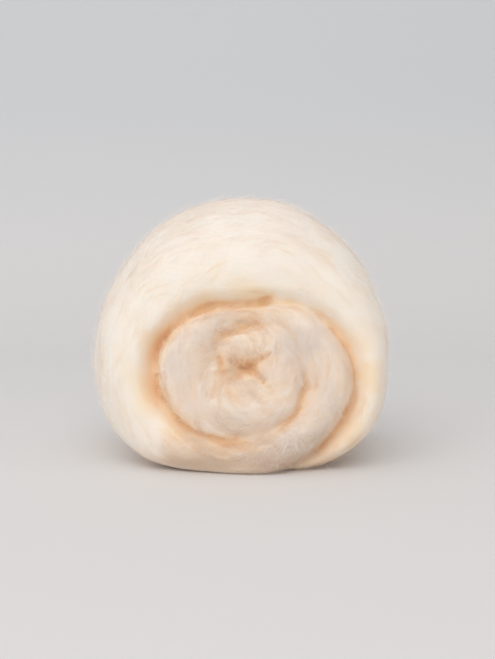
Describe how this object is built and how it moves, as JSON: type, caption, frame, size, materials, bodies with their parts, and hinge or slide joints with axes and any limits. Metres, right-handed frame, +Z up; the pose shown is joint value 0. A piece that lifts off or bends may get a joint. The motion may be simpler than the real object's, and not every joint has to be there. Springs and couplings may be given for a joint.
{
  "type": "wool roving",
  "caption": "Loosely wound roll of combed cream wool roving, lying on its side with the spiral of the band's edge on its face.",
  "frame": {"origin": "bottom centre of the roll's box, on the surface that the roll lies on", "axes": "+Z up; +Y along the winding axis, from the face that shows the spiral to the back; +X to the right as the spiral face is seen"},
  "size_m": [0.112, 0.088, 0.0998],
  "materials": {
    "wool": "undyed cream wool, combed, soft and matt, with loose fibres on its surface"
  },
  "bodies": {
    "root": {"roving_roll": "wool"}
  },
  "joints": []
}
